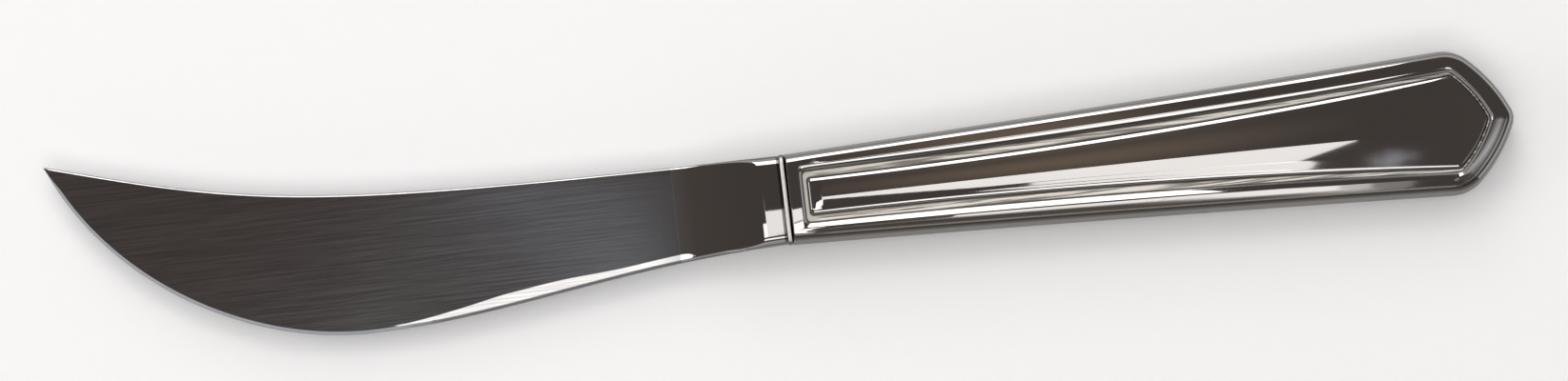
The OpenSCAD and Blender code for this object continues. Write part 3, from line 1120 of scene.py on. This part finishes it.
# The knife
steel = handle_steel()
dress(make_blade(), "blade", blade_steel())
shell = make_shell()
dress(mirrored_shell(shell), "handle_back", steel)
dress(shell, "handle_front", steel)
dress(make_seam(), "seam_braze", braze_metal())
filling = bpy.data.objects["tang_cement"]
filling.data.materials.clear()
filling.data.materials.append(tang_cement())


# Studio

lamp_color = (1, 0.985, 0.97)


def lay_floor():
    half_side = 4
    bpy.ops.object.select_all(action="DESELECT")
    bpy.ops.mesh.primitive_plane_add(size=2 * half_side)
    floor = bpy.context.object
    floor.name = "studio_floor"
    floor.data.materials.append(studio_paper())


def lamp_axes(back, turn):
    """The axes along and across the face of a lamp, whose back points away from what it lights."""
    along = Vector((cos(turn + pi / 2), sin(turn + pi / 2), 0)).cross(back).normalized()
    return along, back.cross(along)


def softbox(name, center, back, width, depth, radiance, color=lamp_color, turn=0):
    """A rectangular lamp, as bright all over as its radiance says."""
    lamp = bpy.data.lights.new(name, "AREA")
    lamp.shape = "RECTANGLE"
    lamp.size = width
    lamp.size_y = depth
    lamp.energy = radiance * pi * width * depth
    lamp.color = color
    holder = bpy.data.objects.new(name, lamp)
    bpy.context.scene.collection.objects.link(holder)
    holder.matrix_world = Matrix((*lamp_axes(back, turn), back)).transposed().to_4x4()
    holder.matrix_world.translation = center
    return holder


# A softbox over the knife: leant from the zenith towards the spine's side and as deep as its reach, both
# angles seen from the knife, and starting and ending over places along the knife, in metres
hung_fields = "name lean reach start end radiance turn distance notched"
Hung = namedtuple("Hung", hung_fields, defaults=(0, 1, False))
hung_lamps = [
    Hung("blade_strip", radians(-6.4), radians(6), -0.33, -0.03, 1.6),
    Hung("handle_strip", radians(-5.8), radians(9.4), -0.036, 0.155, 1.22, radians(-8), notched=True),
    Hung("bridge_strip", radians(-12.3), radians(2.6), 0.07, 0.146, 1.22),
    Hung("crest_strip", radians(-15.7), radians(4.2), 0.1, 0.157, 0.56),
    Hung("crest_strip", radians(-15.7), radians(4.2), 0.1, 0.167, 0.46, distance=1.01),
    Hung("crest_strip", radians(-15.7), radians(4.2), 0.1, 0.18, 0.22, distance=1.02),
    Hung("spine_softbox", radians(45.5), radians(42), -0.3, 0.158, 2.4),
    Hung("edge_softbox", radians(-29.5), radians(18), -0.26, 0.222, 1.6),
]

# The notch in a strip's outer edge: its start and end along the strip, in metres from the strip's
# middle, and the depth that is left where it starts
notch_from = -0.052
notch_to = 0.0085
notch_left = 0.05
notch_steps = 10


def lamp_slices(half, depth, notched):
    """Starts, ends and depths of a softbox's slices: all of it, or those that the notch cuts."""
    if not notched:
        return [(-half, half, depth)]
    ends = [mix(notch_from, notch_to, i / notch_steps) for i in range(notch_steps + 1)]
    slices = [(-half, notch_from, depth), (notch_to, half, depth)]
    for i in range(notch_steps):
        slices.append((ends[i], ends[i + 1], mix(notch_left, depth, (i + 0.5) / notch_steps)))
    return slices


def hang(hung):
    """Hangs a softbox over the knife, its slices flush along the inner edge."""
    back = Vector((0, sin(hung.lean), cos(hung.lean)))
    along, across = lamp_axes(back, hung.turn)
    middle = Vector(((hung.start + hung.end) / 2, 0, 0)) + back * hung.distance
    half = (hung.end - hung.start) / 2
    depth = 2 * tan(hung.reach / 2) * hung.distance
    for low, high, deep in lamp_slices(half, depth, hung.notched):
        center = middle + along * (low + high) / 2 + across * (depth - deep) / 2
        softbox(hung.name, center, back, high - low, deep, hung.radiance, turn=hung.turn)


def light_studio():
    for hung in hung_lamps:
        hang(hung)
    beyond_tip = Vector((-0.85, 0.1, 0.53))
    softbox("tip_softbox", beyond_tip, beyond_tip.normalized(), width=0.5, depth=0.5, radiance=1.6)
    above = Vector((0, 0.1, 1.6))
    white = (1, 1, 1)
    wash = softbox("floor_wash", above, above.normalized(), 2.4, 2.4, radiance=1.17, color=white)
    wash.visible_glossy = False
    bpy.context.scene.world = studio_air()


def set_camera():
    """A long lens almost square above the knife, turned so that the handle rises to the right."""
    elevation = radians(88)
    turn = radians(6.6)
    distance = 0.9
    picture_w, picture_h = 1645, 400
    joint_px = (826.8, 209.8)
    px_per_mm = 7.125
    sensor_mm = 36
    ahead = Vector((0, cos(elevation), -sin(elevation)))
    level_right = Vector((1, 0, 0))
    level_up = Vector((0, sin(elevation), cos(elevation)))
    right = cos(turn) * level_right - sin(turn) * level_up
    up = sin(turn) * level_right + cos(turn) * level_up
    off_right = (joint_px[0] - picture_w / 2) / px_per_mm
    off_down = (joint_px[1] - picture_h / 2) / px_per_mm
    aim = place(0, 0, 0) + (up * off_down - right * off_right) * MM
    lens = bpy.data.cameras.new("studio_camera")
    lens.sensor_width = sensor_mm
    lens.lens = sensor_mm * distance / (picture_w / px_per_mm * MM)
    holder = bpy.data.objects.new("studio_camera", lens)
    bpy.context.scene.collection.objects.link(holder)
    holder.matrix_world = Matrix((right, up, -ahead)).transposed().to_4x4()
    holder.matrix_world.translation = aim - ahead * distance
    bpy.context.scene.camera = holder


lay_floor()
light_studio()
set_camera()
bpy.context.scene.view_settings.view_transform = "Standard"
